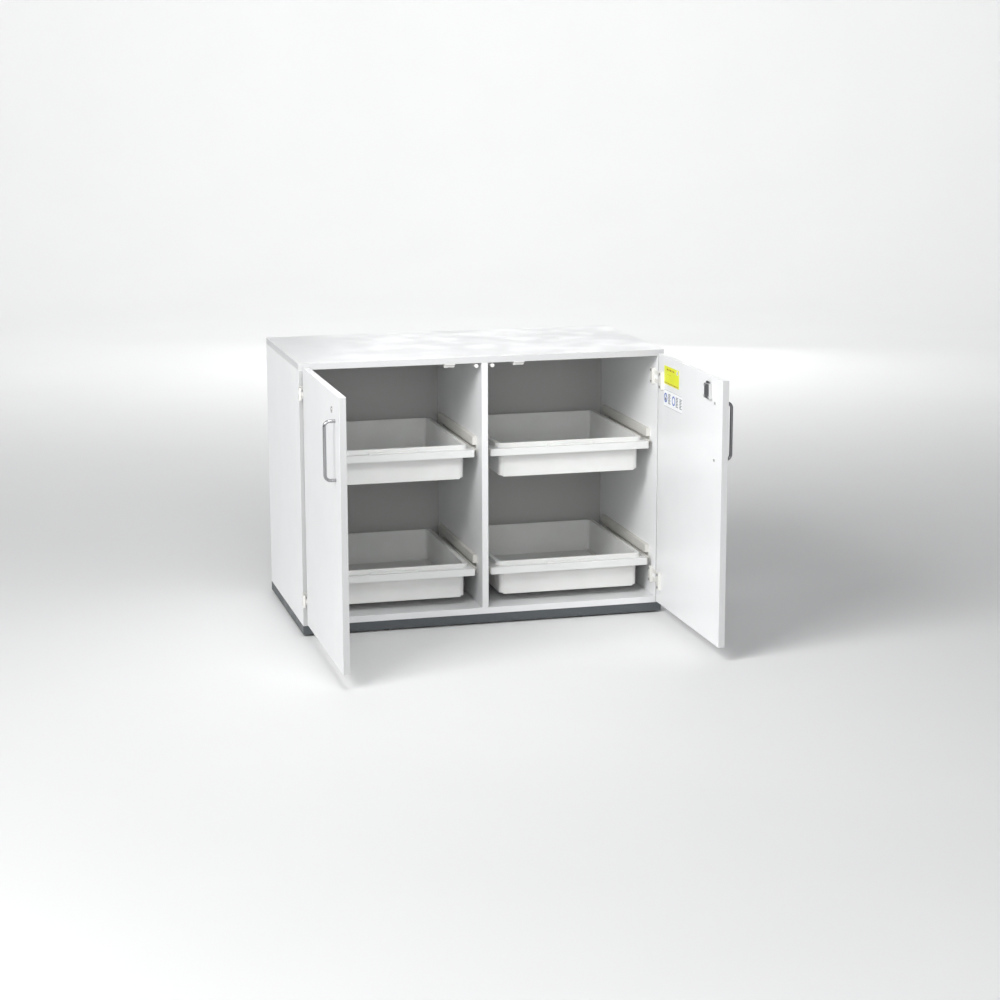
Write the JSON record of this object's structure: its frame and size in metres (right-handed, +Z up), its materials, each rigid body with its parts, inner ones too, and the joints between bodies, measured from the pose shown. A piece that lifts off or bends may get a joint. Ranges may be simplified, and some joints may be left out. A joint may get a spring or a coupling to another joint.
{
  "type": "flammable storage cabinet",
  "caption": "Low two-door cabinet on a plinth, split by a partition, with pull-out tub trays on roller slides in each bay, bar handles and bolt locks.",
  "frame": {"origin": "on the floor, under the middle of the carcass's front plane, which is also the middle of the footprint with both doors open at a right angle", "axes": "+X to the right seen from the front, +Y to the back, +Z up"},
  "size_m": [1.1532, 1.1518, 0.806],
  "materials": {
    "white_board": "satin melamine facing, edge-banded",
    "plinth_board": "matt anthracite facing",
    "foot_plastic": "moulded",
    "hinge_enamel": "ivory powder coat, satin",
    "bright_steel": "zinc plated",
    "handle_steel": "satin ground",
    "lock_steel": "grey lacquer, satin",
    "lock_chrome": "polished",
    "white_fitting": "moulded",
    "slide_enamel": "cream epoxy coat, satin",
    "tray_enamel": "light cream powder coat, satin",
    "roller_nylon": "nylon",
    "tub_plastic": "off-white moulded",
    "yellow_film": "printed film",
    "white_film": "printed film"
  },
  "bodies": {
    "carcass": {"top_panel": "white_board", "bottom_panel": "white_board", "left_side_panel": "white_board", "right_side_panel": "white_board", "centre_partition": "white_board", "back_panel": "white_board", "back_panel_screws": "bright_steel", "plinth_front_rail": "plinth_board", "plinth_rear_rail": "plinth_board", "plinth_side_rails": "plinth_board", "levelling_feet": "foot_plastic", "left_strike_plate": "white_fitting", "right_strike_plate": "white_fitting", "door_buffers": "white_fitting", "hinge_wall_leaves": "hinge_enamel", "hinge_pins": "bright_steel", "carcass_fitting_screws": "bright_steel", "upper_left_slide_rails": "slide_enamel", "upper_right_slide_rails": "slide_enamel", "lower_left_slide_rails": "slide_enamel", "lower_right_slide_rails": "slide_enamel"},
    "left_door": {"left_door_panel": "white_board", "left_door_hinge_leaves": "hinge_enamel", "left_door_handle": "handle_steel", "left_door_screws": "bright_steel", "left_lock_case": "lock_steel", "left_lock_sleeve": "lock_chrome"},
    "left_plug": {"left_lock_plug": "lock_chrome"},
    "left_bolt": {"left_lock_bolt": "bright_steel"},
    "right_door": {"right_door_panel": "white_board", "right_door_hinge_leaves": "hinge_enamel", "right_door_handle": "handle_steel", "right_door_screws": "bright_steel", "right_lock_case": "lock_steel", "right_lock_sleeve": "lock_chrome", "yellow_label": "yellow_film", "white_label": "white_film"},
    "right_plug": {"right_lock_plug": "lock_chrome"},
    "right_bolt": {"right_lock_bolt": "bright_steel"},
    "upper_left_tray": {"upper_left_tray_frame": "tray_enamel", "upper_left_tray_tub": "tub_plastic", "upper_left_slide_runners": "slide_enamel"},
    "upper_left_fixed_wheels": {"upper_left_front_rollers": "roller_nylon"},
    "upper_left_tray_wheels": {"upper_left_rear_rollers": "roller_nylon"},
    "upper_right_tray": {"upper_right_tray_frame": "tray_enamel", "upper_right_tray_tub": "tub_plastic", "upper_right_slide_runners": "slide_enamel"},
    "upper_right_fixed_wheels": {"upper_right_front_rollers": "roller_nylon"},
    "upper_right_tray_wheels": {"upper_right_rear_rollers": "roller_nylon"},
    "lower_left_tray": {"lower_left_tray_frame": "tray_enamel", "lower_left_tray_tub": "tub_plastic", "lower_left_slide_runners": "slide_enamel"},
    "lower_left_fixed_wheels": {"lower_left_front_rollers": "roller_nylon"},
    "lower_left_tray_wheels": {"lower_left_rear_rollers": "roller_nylon"},
    "lower_right_tray": {"lower_right_tray_frame": "tray_enamel", "lower_right_tray_tub": "tub_plastic", "lower_right_slide_runners": "slide_enamel"},
    "lower_right_fixed_wheels": {"lower_right_front_rollers": "roller_nylon"},
    "lower_right_tray_wheels": {"lower_right_rear_rollers": "roller_nylon"}
  },
  "joints": [
    {"name": "left_door_hinge", "type": "hinge", "parent": "carcass", "child": "left_door", "pos_m": [-0.55055, -0.02925, 0.4], "axis": [0, 0, -1], "range_deg": [-90, 165]},
    {"name": "left_lock_turn", "type": "hinge", "parent": "left_door", "child": "left_plug", "pos_m": [-0.5426, -0.4758, 0.751], "axis": [1, 0, 0], "range_deg": [0, 90]},
    {"name": "left_bolt_slide", "type": "slide", "parent": "left_door", "child": "left_bolt", "axis": [0, 0, 1], "range_m": [0, 0.0086]},
    {"name": "right_door_hinge", "type": "hinge", "parent": "carcass", "child": "right_door", "pos_m": [0.55055, -0.02925, 0.4], "axis": [0, 0, 1], "range_deg": [-90, 165]},
    {"name": "right_lock_turn", "type": "hinge", "parent": "right_door", "child": "right_plug", "pos_m": [0.5426, -0.4758, 0.751], "axis": [1, 0, 0], "range_deg": [0, 90]},
    {"name": "right_bolt_slide", "type": "slide", "parent": "right_door", "child": "right_bolt", "axis": [0, 0, 1], "range_m": [0, 0.0086]},
    {"name": "upper_left_tray_slide", "type": "slide", "parent": "carcass", "child": "upper_left_tray", "axis": [0, -1, 0], "range_m": [0, 0.34]},
    {"name": "upper_left_fixed_wheel_turn", "type": "hinge", "parent": "carcass", "child": "upper_left_fixed_wheels", "pos_m": [0, 0.079, 0.5142], "axis": [1, 0, 0], "range_deg": [0, 1950]},
    {"name": "upper_left_tray_wheel_turn", "type": "hinge", "parent": "upper_left_tray", "child": "upper_left_tray_wheels", "pos_m": [0, 0.477, 0.5395], "axis": [1, 0, 0], "range_deg": [0, 1220]},
    {"name": "upper_right_tray_slide", "type": "slide", "parent": "carcass", "child": "upper_right_tray", "axis": [0, -1, 0], "range_m": [0, 0.34]},
    {"name": "upper_right_fixed_wheel_turn", "type": "hinge", "parent": "carcass", "child": "upper_right_fixed_wheels", "pos_m": [0, 0.079, 0.5142], "axis": [1, 0, 0], "range_deg": [0, 1950]},
    {"name": "upper_right_tray_wheel_turn", "type": "hinge", "parent": "upper_right_tray", "child": "upper_right_tray_wheels", "pos_m": [0, 0.477, 0.5395], "axis": [1, 0, 0], "range_deg": [0, 1220]},
    {"name": "lower_left_tray_slide", "type": "slide", "parent": "carcass", "child": "lower_left_tray", "axis": [0, -1, 0], "range_m": [0, 0.34]},
    {"name": "lower_left_fixed_wheel_turn", "type": "hinge", "parent": "carcass", "child": "lower_left_fixed_wheels", "pos_m": [0, 0.079, 0.1547], "axis": [1, 0, 0], "range_deg": [0, 1950]},
    {"name": "lower_left_tray_wheel_turn", "type": "hinge", "parent": "lower_left_tray", "child": "lower_left_tray_wheels", "pos_m": [0, 0.477, 0.18], "axis": [1, 0, 0], "range_deg": [0, 1220]},
    {"name": "lower_right_tray_slide", "type": "slide", "parent": "carcass", "child": "lower_right_tray", "axis": [0, -1, 0], "range_m": [0, 0.34]},
    {"name": "lower_right_fixed_wheel_turn", "type": "hinge", "parent": "carcass", "child": "lower_right_fixed_wheels", "pos_m": [0, 0.079, 0.1547], "axis": [1, 0, 0], "range_deg": [0, 1950]},
    {"name": "lower_right_tray_wheel_turn", "type": "hinge", "parent": "lower_right_tray", "child": "lower_right_tray_wheels", "pos_m": [0, 0.477, 0.18], "axis": [1, 0, 0], "range_deg": [0, 1220]}
  ],
  "couplings": [
    {"joint": "left_bolt_slide", "follows": "left_lock_turn", "m_per_rad": 0.0054113},
    {"joint": "right_bolt_slide", "follows": "right_lock_turn", "m_per_rad": 0.0054113},
    {"joint": "upper_left_fixed_wheel_turn", "follows": "upper_left_tray_slide", "rad_per_m": 100},
    {"joint": "upper_left_tray_wheel_turn", "follows": "upper_left_tray_slide", "rad_per_m": 62.5},
    {"joint": "upper_right_fixed_wheel_turn", "follows": "upper_right_tray_slide", "rad_per_m": 100},
    {"joint": "upper_right_tray_wheel_turn", "follows": "upper_right_tray_slide", "rad_per_m": 62.5},
    {"joint": "lower_left_fixed_wheel_turn", "follows": "lower_left_tray_slide", "rad_per_m": 100},
    {"joint": "lower_left_tray_wheel_turn", "follows": "lower_left_tray_slide", "rad_per_m": 62.5},
    {"joint": "lower_right_fixed_wheel_turn", "follows": "lower_right_tray_slide", "rad_per_m": 100},
    {"joint": "lower_right_tray_wheel_turn", "follows": "lower_right_tray_slide", "rad_per_m": 62.5}
  ]
}
